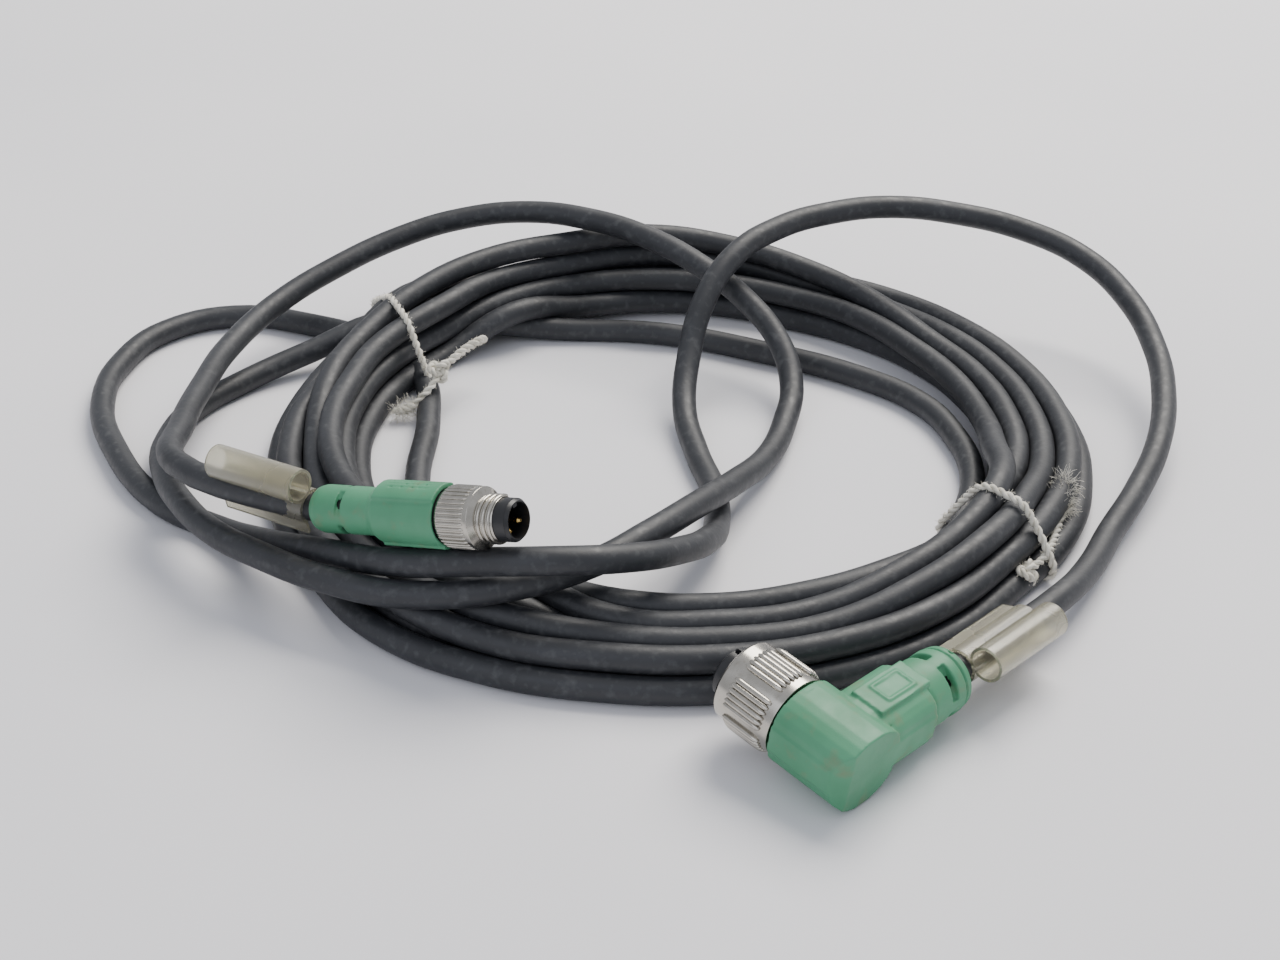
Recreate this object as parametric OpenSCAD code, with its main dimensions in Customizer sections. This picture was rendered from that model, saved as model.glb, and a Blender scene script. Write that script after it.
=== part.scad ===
// Sensor cordset: a coiled round cable with a straight M8 plug on one end and an
// angled M12 socket on the other, two clip-on marker sleeves and two string ties.
// The origin is under the middle of the whole lay-out, on the surface it lies on.

/* [Cable] */
// Outer diameter of the cable jacket
cable_d = 4.7; // [4.4:0.1:5]
// Diameter of one insulated conductor
wire_d = 1.1; // [0.8:0.1:1.3]

/* [Coil] */
// Outer radius of the coil
coil_r = 76; // [60:1:90]
// Cable turns side by side in the lowest layer
coil_columns = 5; // [3:1:6]
// Layers of turns on top of each other
coil_layers = 3; // [2:1:3]

/* [Straight M8 plug] */
// Length from the cable exit to the front of the contact carrier
m8_len = 39.5; // [34:0.5:46]
// Length of the green grip body
m8_grip_len = 26.2; // [22:0.1:30]
// Diameter of the slim cable end of the grip body
m8_neck_d = 8; // [7.4:0.1:9]
// Diameter of the grip body over its raised panels
m8_grip_d = 10.6; // [10:0.1:12]
// Diameter of the knurled screw
m8_knurl_d = 10.2; // [9.4:0.1:11]
// Length of the knurled ring of the screw
m8_knurl_len = 6.6; // [5:0.1:8]
// Major diameter of the coupling thread
m8_thread_d = 8; // [8:0.1:8.4]
// Length of the coupling thread
m8_thread_len = 3.2; // [2.6:0.1:4]
// Diameter of the contact carrier
m8_carrier_d = 6.9; // [6.5:0.1:7]
// Diameter of the contact pins
pin_d = 1; // [0.8:0.1:1.2]

/* [Angled M12 socket] */
// Distance from the cable axis to the front of the contact insert
m12_reach = 21.5; // [20:0.5:26]
// Distance from the mating axis to the cable exit
m12_arm = 26.5; // [24:0.5:32]
// Width and height of the elbow block
m12_block = 13.2; // [12.6:0.1:14.4]
// Diameter of the round cable end of the arm
m12_collar_d = 10.8; // [10:0.1:11.6]
// Diameter of the knurled nut over its panels
m12_knurl_d = 14.4; // [14:0.1:15]
// Length of the knurled nut
m12_nut_len = 11; // [10:0.1:12]
// Inner diameter of the nut's thread
m12_thread_d = 11; // [10.8:0.1:11.2]
// Diameter of the contact insert
m12_insert_d = 8.3; // [8:0.1:8.6]

/* [Marker sleeves] */
// Length of a marker sleeve
sleeve_len = 18; // [14:1:22]
// Inner diameter of the label tube
sleeve_pocket_d = 4.8; // [4.2:0.1:5]
// Wall of the sleeve
sleeve_wall = 0.5; // [0.4:0.05:0.6]
// Distance that a sleeve slides along the cable
sleeve_travel = 3; // [1:0.5:3]

/* [String ties] */
// Thickness of the string
string_d = 1.3; // [1:0.1:1.6]

/* [Fits] */
// Radial clearance of a nut or screw on its journal
turn_gap = 0.05; // [0.02:0.01:0.1]
// Gap between parts that are moulded over each other
mould_gap = 0.02; // [0.01:0.01:0.05]
// Radial clearance of a marker sleeve on the cable
clip_gap = 0.12; // [0.08:0.01:0.2]
// Axial clearance of a nut or screw between its shoulders
end_gap = 0.4; // [0.2:0.05:0.6]

/* [Hidden] */

$fn = 64;
eps = 0.01;
cable_r = cable_d / 2;
tube_sides = 10;
wire_sides = 8;

// Coil: closed ring with the outline of the packed turns
coil_at = [9.5, 13.5, 0];
layer_rise = cable_d * sin(60);
coil_h = cable_d + (coil_layers - 1) * layer_rise;
coil_w = coil_columns * cable_d;
coil_shoulder = cable_r;

// M8 plug: cable exit, and a point on its axis in front of it
m8_exit = [-49.7, -32, 17.5];
m8_aim = [-15.2, -51, 27];
// M12 socket: crossing of its two axes, and a point on its arm's axis
m12_corner = [31, -82, 7.6];
m12_aim = [50, -63, 7];
m12_roll = 8;
// Straight stretches of cable that carry the marker sleeves
m8_sleeve_from = [-50.6, -31.5, 17.3];
m8_sleeve_to = [-77, -15, 16];
m12_sleeve_from = [51, -62, 7];
m12_sleeve_to = [71, -41, 6];

// Free lead from the M8 plug: over the coil, down inside it, out over its front,
// round the inner left loop and under the coil to where the turns begin
m8_route = [
    m8_exit, m8_sleeve_from, m8_sleeve_to,
    [-80, 4, 13], [-80, 22, 11], [-78, 41, 10], [-71, 57, 11.5], [-61, 68, 14],
    [-48, 77, 17], [-35, 81, 19.5], [-21, 81, 21], [-8, 76, 21.5], [4, 68, 21], [15, 58, 19],
    [24, 50, 15], [30, 42, 10], [32, 33, 5.5], [30, 22, 3], [26, 8.5, 3.6], [19, -7, 7.2],
    [12, -20.5, 10.9], [4, -33, 13.2], [-5, -42.5, 13.6], [-17, -47.8, 12.8], [-35, -47, 10.6],
    [-49, -41.8, 10.3], [-60, -34, 9.5], [-70, -25, 8.7], [-77, -15.3, 8.4], [-83, -1.4, 6.4],
    [-86, 14.4, 3.4], [-84, 28, 2.4], [-76, 40, 2.4], [-64, 49, 4.4], [-49, 56, 7.8], [-33, 61, 5],
    [-14, 63, 2.4], [7, 61, 2.4], [27, 53, 2.4], [46, 42, 2.4], [57, 31, 2.4], [62, 18, 2.4]
];
// Free lead from the M12 socket: the big right loop, over the coil, along its front,
// round the outer left loop and under the coil to where the turns end
m12_route = [
    m12_sleeve_from, m12_sleeve_to,
    [78, -30, 4.5], [84, -18, 4], [91, -6, 5], [98, 9, 6.5], [102, 24, 8.5], [103, 38, 11],
    [100, 52, 15], [93, 62, 19], [82, 69, 22], [68, 72, 24.5], [54, 72, 26], [41, 68, 26.3],
    [30, 61, 26], [21, 52, 24], [15, 44, 18], [12, 36, 10], [11, 26, 4.5], [13, 12, 2.5],
    [16, -3, 2.4], [16, -13.5, 3], [14, -26, 7.5], [9, -37, 12.5], [0, -47, 17.5],
    [-12, -51, 19.6], [-23, -48, 17.5], [-36, -43.4, 14.3], [-50, -35, 11], [-62, -24, 6],
    [-72, -14, 2.4], [-83, -6, 2.4], [-96, 14, 2.4], [-102, 31, 2.4], [-102, 48, 2.4],
    [-96, 62, 2.4], [-83, 69, 2.4], [-66, 65, 2.4], [-51, 56, 2.4], [-41, 42, 2.4],
    [-38, 24, 2.4], [-38, 2, 2.4], [-33, -25, 2.4]
];

// M8 plug stations along its axis, counted from the cable exit
m8_jacket_in = 9;
m8_slot_at = 6;
m8_slot_w = 1.1;
m8_panel_at = 14;
m8_shroud_r = 4.9;
m8_core_r = 3.2;
m8_core_head_r = 4.4;
m8_core_head_len = 3.5;
m8_stop_r = 4.3;
m8_stop_len = 1.2;
m8_screw_at = m8_grip_len + end_gap;
m8_screw_len = m8_len - m8_screw_at - 2.6;
m8_stop_at = m8_grip_len;
m8_shoulder_at = m8_stop_at + m8_stop_len + end_gap;
m8_thread_at = m8_screw_at + m8_screw_len - m8_thread_len;
m8_well_r = 2.85;
m8_well_depth = 5;
m8_journal_r = m8_carrier_d / 2;
pin_ring_r = 1.9;
pin_recess = 1;
pin_angles = [150, -30, 224];

// M12 socket stations along its mating axis, counted from the cable axis
m12_face = 7.6;
m12_nut_at = m12_face + end_gap;
m12_lip = 2.6;
m12_journal_r = 4.85;
m12_flange_len = 1;
m12_flange_at = m12_nut_at + m12_lip + end_gap / 4;
m12_flange_r = m12_thread_d / 2 - 0.15;
m12_insert_r = m12_insert_d / 2;
m12_seal_r = 0.55;
m12_contact_ring_r = 2.5;
m12_contact_angles = [45, 225, 315];
m12_contact_r = 0.85;
m12_contact_bore = 0.55;
m12_outer_face = 6.2;
m12_arm_half = 5.9;
m12_band_half = 2.1;
m12_ledge = 0.3;
m12_core_arm_r = 4.1;
m12_core_head_r = 5.2;
m12_cavity_end = m12_arm - 3;
m12_jacket_in = 12;
m12_window_at = m12_arm - 6;
m12_window_w = 1.5;

// Marker sleeve section
sleeve_pocket_r = sleeve_pocket_d / 2;
clip_in_r = cable_r + clip_gap;
clip_out_r = clip_in_r + sleeve_wall;
pocket_out_r = sleeve_pocket_r + sleeve_wall;
pocket_off = clip_in_r + sleeve_wall + sleeve_pocket_r;
clip_open_deg = 114;

function yaw_of(from, to) = atan2(to.y - from.y, to.x - from.x);
function pitch_of(from, to) = atan2(to.z - from.z, norm([to.x - from.x, to.y - from.y]));
function point_along(from, to, d) = from + (to - from) * d / norm(to - from);

// Puts a shape that lies along +X from the origin on the line between two points
module place(from, to, roll = 0) {
    translate(from) rotate([0, -pitch_of(from, to), yaw_of(from, to)]) rotate([roll, 0, 0]) children();
}

// Revolves a profile of [place along the axis, radius] points about the X axis
module turned(profile) {
    rotate([90, 0, 90]) rotate_extrude() polygon([for (p = profile) [p[1], p[0]]]);
}

// Round bar along +X
module bar(at, len, r) {
    translate([at, 0, 0]) rotate([0, 90, 0]) cylinder(h = len, r = r);
}

// Outline of a straight knurl: panels of fine ribs with plain channels between them
function knurl_outline(tip_r, root_r, panels, ribs, channel_share) = [
    for (p = [0 : panels - 1], i = [0 : ribs - 1], k = [0 : 3])
        let (
            pitch_deg = 360 / panels * (1 - channel_share) / ribs,
            a = 360 / panels * p + pitch_deg * (i + [0.08, 0.28, 0.72, 0.92][k]),
            r = k == 1 || k == 2 ? tip_r : (k == 0 && i == 0) || (k == 3 && i == ribs - 1) ? root_r - 0.35 : root_r
        )
        [r * cos(a), r * sin(a)]
];

// Round tube swept along a list of points, a ring at each of them
function tangent(route, i) =
    let (a = route[max(i - 1, 0)], b = route[min(i + 1, len(route) - 1)]) (b - a) / norm(b - a);
function side_dir(t) = let (s = cross(t, [0, 0, 1])) s / norm(s);
module swept(route, r, sides) {
    n = len(route);
    rings = [
        for (i = [0 : n - 1], k = [0 : sides - 1])
            let (t = tangent(route, i), u = side_dir(t), v = cross(u, t), a = 360 * k / sides)
            route[i] + r * (cos(a) * u + sin(a) * v)
    ];
    start_cap = [[for (k = [0 : sides - 1]) k]];
    end_cap = [[for (k = [sides - 1 : -1 : 0]) (n - 1) * sides + k]];
    walls = [
        for (i = [0 : n - 2], k = [0 : sides - 1])
            let (a = i * sides + k, b = i * sides + (k + 1) % sides)
            [b, a, a + sides, b + sides]
    ];
    polyhedron(points = rings, faces = concat(start_cap, walls, end_cap), convexity = 10);
}

/* Cable */
function coil_section(grow) = [
    [coil_r - coil_w - grow, coil_shoulder],
    [coil_r - coil_w + coil_shoulder, 0],
    [coil_r - coil_shoulder, 0],
    [coil_r + grow, coil_shoulder],
    [coil_r + grow - cable_r / 2, coil_shoulder + layer_rise],
    [coil_r - 1.5 * cable_d, coil_h + grow],
    [coil_r - coil_w + 1.5 * cable_d, coil_h + grow],
    [coil_r - coil_w - grow + cable_r / 2, coil_shoulder + layer_rise]
];

module cable_coil() {
    color("#26282c") translate(coil_at) rotate_extrude($fn = 96) polygon(coil_section(0));
}

m8_jacket_end = point_along(m8_exit, m8_aim, m8_jacket_in);
module cable_lead_m8() {
    color("#26282c") swept(concat([m8_jacket_end], m8_route), cable_r, tube_sides);
}

m12_exit = point_along(m12_corner, m12_aim, m12_arm);
m12_jacket_end = point_along(m12_corner, m12_aim, m12_arm - m12_jacket_in);
module cable_lead_m12() {
    color("#26282c") swept(concat([m12_jacket_end, m12_exit], m12_route), cable_r, tube_sides);
}

// String round the turns, with its knot and one frayed tail
module string_tie(angle, knot_r, knot_z, tail_turn) {
    knot_size = 1.9;
    tail_len = 7;
    color("#d8d0bc") translate(coil_at) rotate([0, 0, angle]) {
        rotate([90, 0, 0]) translate([0, 0, -string_d / 2]) linear_extrude(string_d) difference() {
            polygon(coil_section(string_d));
            offset(delta = -string_d) polygon(coil_section(string_d));
        }
        translate([knot_r, 0, knot_z]) {
            sphere(r = knot_size, $fn = 24);
            rotate([0, 90, tail_turn]) cylinder(h = tail_len, r = string_d / 2, $fn = 16);
        }
    }
}
module string_tie_left() { string_tie(149, coil_r - coil_w - 1.6, 7.5, 150); }
module string_tie_right() { string_tie(-35, coil_r - 0.8, 3.5, 95); }

/* Straight M8 plug */
module at_m8() { place(m8_exit, m8_aim) children(); }

m8_neck_r = m8_neck_d / 2;
m8_grip_profile = [
    [0, 3.1], [0.7, 3.7], [1.8, m8_neck_r], [m8_panel_at - 1.6, m8_neck_r - 0.1],
    [m8_panel_at, m8_shroud_r - 0.1], [m8_grip_len - 1, m8_shroud_r], [m8_grip_len, m8_shroud_r]
];
module m8_grip_body() {
    panel_half = 3.1;
    panel_len = m8_grip_len - m8_panel_at;
    rib_count = 5;
    color("#2f9a63") at_m8() difference() {
        union() {
            turned(concat([[0, 0]], m8_grip_profile, [[m8_grip_len, 0]]));
            for (up = [0, 180]) rotate([up, 0, 0]) intersection() {
                bar(m8_panel_at, panel_len, m8_grip_d / 2);
                translate([m8_panel_at, -panel_half, 0]) cube([panel_len, 2 * panel_half, m8_grip_d]);
            }
        }
        bar(-eps, m8_slot_at, cable_r + mould_gap);
        bar(4, m8_grip_len, m8_core_r + mould_gap);
        bar(m8_grip_len - m8_core_head_len, m8_core_head_len + eps, m8_core_head_r + mould_gap);
        for (turn = [45 : 90 : 315]) rotate([turn, 0, 0])
            translate([m8_slot_at, -2.1, m8_core_r]) cube([m8_slot_w, 4.2, m8_neck_d]);
        for (up = [0, 180], i = [0 : rib_count - 1]) rotate([up, 0, 0])
            translate([m8_panel_at + 1.6, -2 + i, m8_grip_d / 2 - 0.35]) cube([panel_len - 3.2, 0.3, 1]);
    }
}

module m8_core() {
    color("#202124") at_m8() difference() {
        union() {
            bar(4 + mould_gap, m8_grip_len - 4 - 2 * mould_gap, m8_core_r);
            bar(m8_grip_len - m8_core_head_len + mould_gap, m8_core_head_len - 2 * mould_gap, m8_core_head_r);
        }
        bar(0, m8_jacket_in + mould_gap, cable_r + mould_gap);
    }
}

module m8_contact_carrier() {
    key_w = 1;
    color("#202124") at_m8() difference() {
        union() {
            bar(m8_stop_at, m8_stop_len, m8_stop_r);
            bar(m8_stop_at, m8_len - m8_stop_at - 0.5, m8_journal_r);
            turned([[m8_len - 0.6, 0], [m8_len - 0.6, m8_journal_r], [m8_len, m8_journal_r - 0.4], [m8_len, 0]]);
        }
        difference() {
            bar(m8_len - m8_well_depth, m8_well_depth + 1, m8_well_r);
            translate([m8_len - m8_well_depth - eps, -key_w / 2, m8_well_r - 0.5]) cube([m8_well_depth, key_w, 2]);
        }
        for (a = pin_angles) rotate([a, 0, 0]) translate([0, pin_ring_r, 0])
            bar(m8_stop_at - eps, m8_len - m8_stop_at, pin_d / 2 + mould_gap);
    }
}

module m8_pin(angle) {
    color("#d9b45a") at_m8() rotate([angle, 0, 0]) translate([0, pin_ring_r, 0]) {
        bar(m8_stop_at, m8_len - m8_stop_at - pin_recess - 0.4, pin_d / 2);
        turned([
            [m8_len - pin_recess - 0.41, 0], [m8_len - pin_recess - 0.41, pin_d / 2],
            [m8_len - pin_recess, pin_d / 4], [m8_len - pin_recess, 0]
        ]);
    }
}
module m8_pin_1() { m8_pin(pin_angles[0]); }
module m8_pin_3() { m8_pin(pin_angles[1]); }
module m8_pin_4() { m8_pin(pin_angles[2]); }

module m8_knurled_screw() {
    screw_end = m8_screw_at + m8_screw_len;
    rib_count = 36;
    rim_at = m8_screw_at + m8_knurl_len;
    knurl_r = m8_knurl_d / 2;
    color("#c9c6c0") at_m8() difference() {
        union() {
            translate([m8_screw_at + 0.5, 0, 0]) rotate([90, 0, 90]) linear_extrude(m8_knurl_len - 1)
                polygon(knurl_outline(knurl_r, knurl_r - 0.25, 1, rib_count, 0));
            turned([
                [m8_screw_at, 0], [m8_screw_at, knurl_r - 0.6], [m8_screw_at + 0.55, knurl_r - 0.15],
                [rim_at - 1, knurl_r - 0.26], [rim_at - 0.9, knurl_r - 0.1], [rim_at - 0.1, knurl_r - 0.1],
                [rim_at + 0.6, m8_thread_d / 2 - 0.5], [m8_thread_at, m8_thread_d / 2 - 0.5], [m8_thread_at, 0]
            ]);
            bar(m8_thread_at - eps, m8_thread_len, m8_thread_d / 2);
            bar(m8_thread_at, screw_end - m8_thread_at, m8_thread_d / 2 - 0.3);
        }
        bar(m8_screw_at - eps, screw_end, m8_journal_r + turn_gap);
        bar(m8_screw_at - eps, m8_shoulder_at - m8_screw_at, m8_stop_r + turn_gap + 0.05);
    }
}

module m8_wire(angle, shade) {
    wire_from = m8_jacket_in + 2 * mould_gap;
    color(shade) at_m8() rotate([angle, 0, 0]) translate([0, pin_ring_r, 0])
        bar(wire_from, m8_stop_at - wire_from - mould_gap, wire_d / 2);
}
module m8_wire_brown() { m8_wire(pin_angles[0], "#6b4a2f"); }
module m8_wire_blue() { m8_wire(pin_angles[1], "#2f5fb0"); }
module m8_wire_black() { m8_wire(pin_angles[2], "#303030"); }

/* Angled M12 socket: arm along +X, mating side along +Y */
module at_m12() { place(m12_corner, m12_aim, m12_roll) children(); }
module mating() { rotate([0, 0, 90]) children(); }

// Moulded section: a flat band at each side, a small ledge, and a domed top and bottom
function mirrored(points, x_side, y_side) = [for (p = points) [x_side * p.x, y_side * p.y]];
function reversed(points) = [for (i = [len(points) - 1 : -1 : 0]) points[i]];
function shell_quarter(half_w, half_h) = concat(
    [[half_w, m12_band_half]],
    [for (a = [0 : 15 : 75])
        [(half_w - m12_ledge) * cos(a), m12_band_half + m12_ledge + (half_h - m12_band_half - m12_ledge) * sin(a)]]
);
module domed_bar(at, len, half_w, half_h) {
    quarter = shell_quarter(half_w, half_h);
    translate([at, 0, 0]) rotate([90, 0, 90]) linear_extrude(len) polygon(concat(
        quarter, reversed(mirrored(quarter, -1, 1)), mirrored(quarter, -1, -1), reversed(mirrored(quarter, 1, -1))
    ));
}

// Raised outline on the label pad
module label_frame(len, width, top) {
    rim = 0.4;
    translate([0, -width / 2, 0]) difference() {
        cube([len, width, top + 0.3]);
        translate([rim, rim, top + 0.05]) cube([len - 2 * rim, width - 2 * rim, 1]);
    }
}

module m12_grip_body() {
    block_half = m12_block / 2;
    corner_cut = 2.2;
    collar_r = m12_collar_d / 2;
    collar_at = m12_arm - 10;
    pad_top = m12_arm_half + 0.25;
    pad_half = 3;
    frame_len = 6.4;
    color("#2f9a63") at_m12() difference() {
        union() {
            intersection() {
                mating() domed_bar(-m12_outer_face, m12_outer_face + m12_face, block_half, block_half);
                linear_extrude(m12_block, center = true) polygon([
                    [-block_half, m12_face], [-block_half, corner_cut - m12_outer_face],
                    [corner_cut - block_half, -m12_outer_face],
                    [block_half, -m12_outer_face], [block_half, m12_face]
                ]);
            }
            domed_bar(0, collar_at - 1, m12_outer_face, m12_arm_half);
            translate([block_half - 1.5, -pad_half, 0]) cube([collar_at - block_half + 1.5, 2 * pad_half, pad_top]);
            translate([block_half + 1.2, 0, 0]) label_frame(frame_len, 2 * pad_half - 2, pad_top);
            turned([
                [collar_at - 1.5, 0], [collar_at - 1.5, collar_r - 0.5], [collar_at + 0.5, collar_r],
                [m12_arm - 2.6, collar_r], [m12_arm - 2.6, collar_r - 0.5], [m12_arm - 2.1, collar_r - 0.5],
                [m12_arm - 2.1, collar_r - 0.1], [m12_arm - 1, collar_r - 0.3], [m12_arm - 0.3, collar_r - 1],
                [m12_arm, collar_r - 2], [m12_arm, 0]
            ]);
            mating() bar(m12_face - 1, 1, block_half);
        }
        bar(collar_at, m12_arm, cable_r + mould_gap);
        bar(0, m12_cavity_end, m12_core_arm_r + mould_gap);
        mating() bar(-3, m12_face + 3 + eps, m12_core_head_r + mould_gap);
        for (turn = [45 : 90 : 315]) rotate([turn, 0, 0])
            translate([m12_window_at, -2.9, m12_core_arm_r]) cube([m12_window_w, 5.8, m12_collar_d]);
        translate([m12_arm - 1.1, 0, collar_r - 1.2]) cylinder(h = 2, r = 0.45);
    }
}

module m12_core() {
    color("#202124") at_m12() difference() {
        union() {
            bar(0, m12_cavity_end - mould_gap, m12_core_arm_r);
            mating() bar(-3 + mould_gap, m12_face + 3 - 2 * mould_gap, m12_core_head_r);
        }
        bar(m12_arm - m12_jacket_in - mould_gap, m12_arm, cable_r + mould_gap);
    }
}

module m12_contact_insert() {
    key_w = 1.1;
    color("#202124") at_m12() mating() difference() {
        union() {
            bar(m12_face, m12_flange_at - m12_face + eps, m12_journal_r);
            bar(m12_flange_at, m12_flange_len, m12_flange_r);
            bar(m12_flange_at, m12_reach - m12_flange_at - 0.4, m12_insert_r);
            turned([
                [m12_reach - 0.5, 0], [m12_reach - 0.5, m12_insert_r],
                [m12_reach, m12_insert_r - 0.4], [m12_reach, 0]
            ]);
        }
        for (a = m12_contact_angles) rotate([a, 0, 0]) translate([0, m12_contact_ring_r, 0])
            bar(m12_face - eps, m12_reach, m12_contact_r + mould_gap);
        rotate([135, 0, 0]) translate([0, m12_contact_ring_r, 0]) bar(m12_reach - 6, 7, m12_contact_bore);
        translate([m12_reach - 7, -key_w / 2, m12_insert_r - 0.8]) cube([8, key_w, 2]);
    }
}

module m12_seal_ring() {
    ring_r = m12_insert_r + m12_seal_r + mould_gap;
    ring_at = m12_flange_at + m12_flange_len + m12_seal_r + mould_gap;
    color("#3a3a3c") at_m12() mating() translate([ring_at, 0, 0]) rotate([0, 90, 0])
        rotate_extrude() translate([ring_r, 0]) circle(r = m12_seal_r, $fn = 32);
}

module m12_knurled_nut() {
    knurl_r = m12_knurl_d / 2;
    band_r = knurl_r - 0.65;
    nut_end = m12_nut_at + m12_nut_len;
    front_band = 2.4;
    rear_band = 1.3;
    color("#c9c6c0") at_m12() mating() difference() {
        union() {
            turned([
                [m12_nut_at, 0], [m12_nut_at, band_r - 0.2], [m12_nut_at + 0.2, band_r],
                [nut_end - 0.5, band_r], [nut_end, band_r - 0.5], [nut_end, 0]
            ]);
            translate([m12_nut_at + rear_band, 0, 0]) rotate([90, 0, 90])
                linear_extrude(m12_nut_len - rear_band - front_band)
                    polygon(knurl_outline(knurl_r, knurl_r - 0.28, 6, 6, 0.24));
        }
        bar(m12_nut_at - eps, m12_nut_len, m12_journal_r + turn_gap);
        bar(m12_nut_at + m12_lip, m12_nut_len, m12_thread_d / 2);
    }
}

module m12_contact(angle) {
    socket_depth = 7;
    color("#d9b45a") at_m12() mating() rotate([angle, 0, 0]) translate([0, m12_contact_ring_r, 0]) difference() {
        bar(m12_face, m12_reach - m12_face - 0.3, m12_contact_r);
        bar(m12_reach - socket_depth, socket_depth + 1, m12_contact_bore);
    }
}
module m12_contact_1() { m12_contact(m12_contact_angles[0]); }
module m12_contact_3() { m12_contact(m12_contact_angles[1]); }
module m12_contact_4() { m12_contact(m12_contact_angles[2]); }

// Conductor that turns from the arm into the mating side
module m12_wire(angle, shade) {
    bend_r = 2.6;
    spread = 1.1;
    off_y = spread * cos(angle);
    off_z = spread * sin(angle);
    route = concat(
        [[m12_arm - m12_jacket_in - 2 * mould_gap, off_y, off_z]],
        [for (turn = [0 : 18 : 90]) [bend_r * (1 - sin(turn)) + off_y, bend_r * (1 - cos(turn)) + off_y, off_z]],
        [[off_y, m12_face - mould_gap, off_z]]
    );
    color(shade) at_m12() swept(route, wire_d / 2, wire_sides);
}
module m12_wire_brown() { m12_wire(90, "#6b4a2f"); }
module m12_wire_blue() { m12_wire(210, "#2f5fb0"); }
module m12_wire_black() { m12_wire(330, "#303030"); }

/* Marker sleeves: label tube with a C-shaped clip for the cable */
module marker_sleeve(from, to, roll) {
    start = 0.8;
    mouth = clip_out_r * 2;
    lip_in = clip_in_r + 0.02;
    lip_rise = -clip_in_r / 2;
    lip_fall = -1.35 * clip_in_r;
    color("#e6dfc0", 0.6) place(from, to, roll) {
        difference() {
            union() {
                bar(start, sleeve_len, clip_out_r);
                translate([0, 0, pocket_off]) bar(start, sleeve_len, pocket_out_r);
            }
            bar(start - 1, sleeve_len + 2, clip_in_r);
            translate([0, 0, pocket_off]) bar(start - 1, sleeve_len + 2, sleeve_pocket_r);
            translate([start - 1, 0, 0]) rotate([90, 0, 90]) linear_extrude(sleeve_len + 2) polygon([
                [0, 0], [-mouth * sin(clip_open_deg / 2), -mouth * cos(clip_open_deg / 2)],
                [mouth * sin(clip_open_deg / 2), -mouth * cos(clip_open_deg / 2)]
            ]);
        }
        for (side = [-1, 1]) translate([start, 0, 0]) rotate([90, 0, 90]) linear_extrude(sleeve_len)
            polygon([
                [side * (lip_in - 0.25), lip_rise], [side * (lip_in + 0.25), lip_rise],
                [side * (lip_in + sleeve_wall + 0.3), lip_fall], [side * (lip_in + 0.3), lip_fall]
            ]);
    }
}
module m8_marker_sleeve() { marker_sleeve(m8_sleeve_from, m8_sleeve_to, -25); }
module m12_marker_sleeve() { marker_sleeve(m12_sleeve_from, m12_sleeve_to, 60); }

cable_coil();
cable_lead_m8();
cable_lead_m12();
string_tie_left();
string_tie_right();
m8_grip_body();
m8_core();
m8_contact_carrier();
m8_knurled_screw();
m8_pin_1();
m8_pin_3();
m8_pin_4();
m8_wire_brown();
m8_wire_blue();
m8_wire_black();
m12_grip_body();
m12_core();
m12_contact_insert();
m12_knurled_nut();
m12_seal_ring();
m12_contact_1();
m12_contact_3();
m12_contact_4();
m12_wire_brown();
m12_wire_blue();
m12_wire_black();
m8_marker_sleeve();
m12_marker_sleeve();
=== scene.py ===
"""Looks of the coiled sensor cordset: cable, moulded plugs, knurled metal, string ties and sleeves."""
import math
import random

import bmesh
import bpy
import numpy as np
from mathutils import Matrix, Vector
from mathutils.geometry import convex_hull_2d


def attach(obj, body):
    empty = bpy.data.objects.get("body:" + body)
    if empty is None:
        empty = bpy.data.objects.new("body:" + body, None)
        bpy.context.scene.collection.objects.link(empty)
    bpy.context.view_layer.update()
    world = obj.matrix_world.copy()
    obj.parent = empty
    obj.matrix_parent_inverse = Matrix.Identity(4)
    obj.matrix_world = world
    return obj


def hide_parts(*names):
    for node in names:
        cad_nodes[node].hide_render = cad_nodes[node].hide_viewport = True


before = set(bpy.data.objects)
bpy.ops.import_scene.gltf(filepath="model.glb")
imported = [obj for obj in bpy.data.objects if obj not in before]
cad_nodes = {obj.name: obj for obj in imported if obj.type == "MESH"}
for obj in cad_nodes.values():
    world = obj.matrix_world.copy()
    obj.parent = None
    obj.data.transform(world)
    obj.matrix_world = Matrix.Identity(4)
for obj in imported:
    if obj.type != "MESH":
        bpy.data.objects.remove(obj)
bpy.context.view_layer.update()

MM = 0.001


def mm(points):
    """Points given in millimetres, as vectors in metres."""
    return [Vector(p) * MM for p in points]


# ---------------------------------------------------------------- camera

camera = bpy.data.objects.new("camera", bpy.data.cameras.new("camera"))
camera.location = (0.0025, -0.3102, 0.190)
camera.rotation_euler = (math.radians(59), 0, 0)
camera.data.lens = 56.25
camera.data.sensor_width = 36
camera.data.clip_start = 0.01
bpy.context.scene.collection.objects.link(camera)
bpy.context.scene.camera = camera

# ---------------------------------------------------------------- sizes shared with the CAD

CABLE_D = 4.7 * MM
COIL_CENTRE = Vector((9.5, 13.5, 0)) * MM
COIL_OUTER_LANE = 73.65 * MM
STRING_R = 0.7 * MM

M8_EXIT, M8_AIM = mm([(-49.7, -32, 17.5), (-15.2, -51, 27)])
M12_CORNER, M12_AIM = mm([(31, -82, 7.6), (50, -63, 7)])
M12_ROLL = math.radians(8)
M12_ARM = 26.5 * MM
M8_JACKET_IN = 9 * MM
M12_JACKET_IN = 12 * MM

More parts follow.
